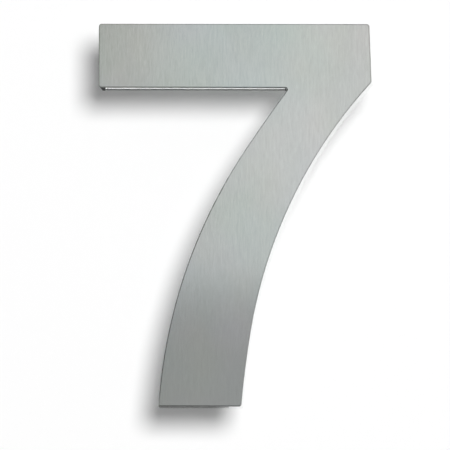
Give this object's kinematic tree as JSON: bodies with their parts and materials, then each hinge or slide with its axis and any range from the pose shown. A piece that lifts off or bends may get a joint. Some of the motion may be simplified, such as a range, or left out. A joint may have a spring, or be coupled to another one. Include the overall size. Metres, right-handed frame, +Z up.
{
  "type": "house number",
  "caption": "House number in the shape of a seven, welded up from brushed stainless sheet with an open back, held off the wall on threaded studs and spacer sleeves.",
  "frame": {"origin": "on the wall, on the axis of the left stud, which sits halfway up the bar of the digit", "axes": "+Z up the digit, +X to the right as the digit is read, +Y into the wall along the studs, so the face looks along -Y"},
  "size_m": [0.107, 0.055, 0.15],
  "materials": {
    "brushed_face": "upright brushed grain",
    "brushed_return": "grain along the strip",
    "turned_boss": "turned",
    "rolled_stud": "rolled thread",
    "turned_spacer": "turned"
  },
  "bodies": {
    "root": {"face_plate": "brushed_face", "return_band": "brushed_return", "stud_boss_left": "turned_boss", "stud_boss_right": "turned_boss", "stud_boss_foot": "turned_boss", "wall_stud_left": "rolled_stud", "wall_stud_right": "rolled_stud", "wall_stud_foot": "rolled_stud", "spacer_sleeve_left": "turned_spacer", "spacer_sleeve_right": "turned_spacer", "spacer_sleeve_foot": "turned_spacer"}
  },
  "joints": []
}
